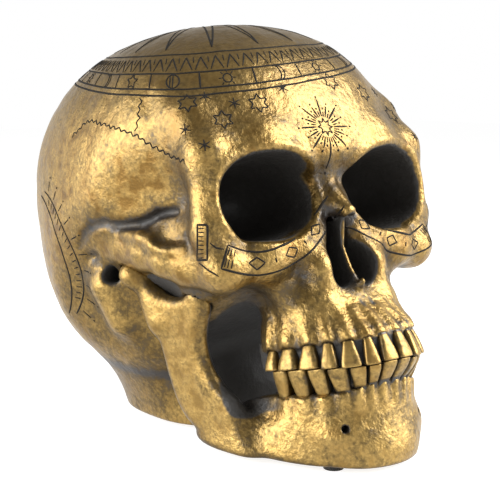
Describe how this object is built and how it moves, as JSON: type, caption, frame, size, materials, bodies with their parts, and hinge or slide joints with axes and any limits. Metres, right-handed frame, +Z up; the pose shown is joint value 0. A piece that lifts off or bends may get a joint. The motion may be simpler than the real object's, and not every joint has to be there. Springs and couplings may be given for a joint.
{
  "type": "decorative skull ornament",
  "caption": "Closed-jaw human skull ornament cast in two glued pieces, open eye sockets and nose, resting on its chin and a squat foot under the back of the head.",
  "frame": {"origin": "on the table plane under the middle of the skull's length and breadth", "axes": "+Z up, the face looks along -Y, +X is the skull's left"},
  "size_m": [0.1466, 0.2028, 0.1725],
  "materials": {
    "gold_resin": "cast polyresin, black undercoat with metallic gold paint rubbed over it, so that hollows stay dark",
    "black_plate": "moulded, matt black",
    "black_felt": "pressed felt"
  },
  "bodies": {
    "root": {"cranium_shell": "gold_resin", "lower_jaw": "gold_resin", "base_plate": "black_plate", "felt_pad_front_left": "black_felt", "felt_pad_front_right": "black_felt", "felt_pad_rear_left": "black_felt", "felt_pad_rear_right": "black_felt"}
  },
  "joints": []
}
